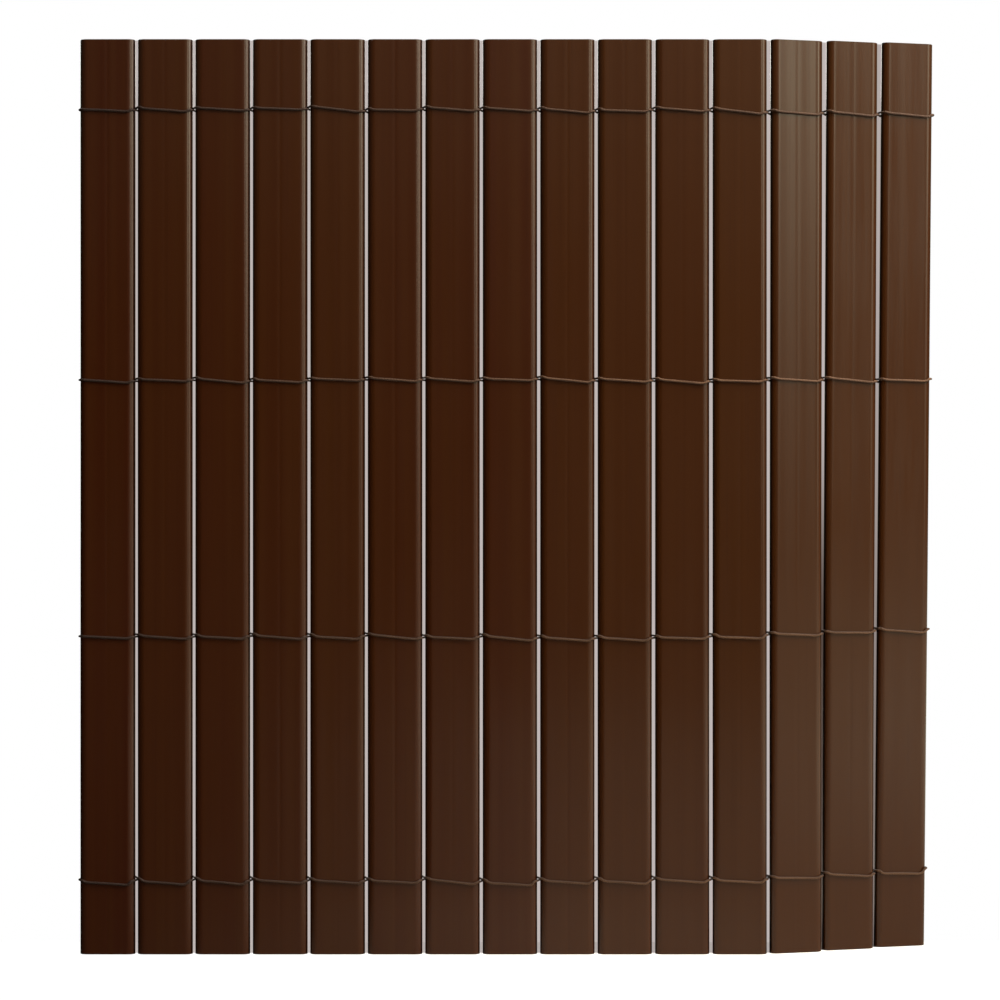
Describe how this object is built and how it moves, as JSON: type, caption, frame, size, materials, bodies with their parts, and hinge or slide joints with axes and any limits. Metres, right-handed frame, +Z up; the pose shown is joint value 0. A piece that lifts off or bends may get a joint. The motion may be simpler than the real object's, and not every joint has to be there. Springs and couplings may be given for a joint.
{
  "type": "pvc privacy screen",
  "caption": "Upright screen of hollow flat-oval plastic slats bound side by side by rows of twined cord, with one end turned back; tied to a railing or fence to block the view.",
  "frame": {"origin": "middle of the screen's foot, at the centre of its bounding box", "axes": "+Z up along the slats, +X to the right along the row of slats seen from the front, -Y towards the viewer, +Y towards the railing behind"},
  "size_m": [0.3226, 0.0242, 0.342],
  "materials": {
    "slat_pvc": "satin brown extruded pvc",
    "binding_cord": "brown twisted polyester cord"
  },
  "bodies": {
    "root": {"slat_01": "slat_pvc", "slat_02": "slat_pvc", "slat_03": "slat_pvc", "slat_04": "slat_pvc", "slat_05": "slat_pvc", "slat_06": "slat_pvc", "slat_07": "slat_pvc", "slat_08": "slat_pvc", "slat_09": "slat_pvc", "slat_10": "slat_pvc", "slat_11": "slat_pvc", "slat_12": "slat_pvc", "slat_13": "slat_pvc", "slat_14": "slat_pvc", "slat_15": "slat_pvc", "bottom_cord_a": "binding_cord", "bottom_cord_b": "binding_cord", "lower_cord_a": "binding_cord", "lower_cord_b": "binding_cord", "upper_cord_a": "binding_cord", "upper_cord_b": "binding_cord", "top_cord_a": "binding_cord", "top_cord_b": "binding_cord"}
  },
  "joints": []
}
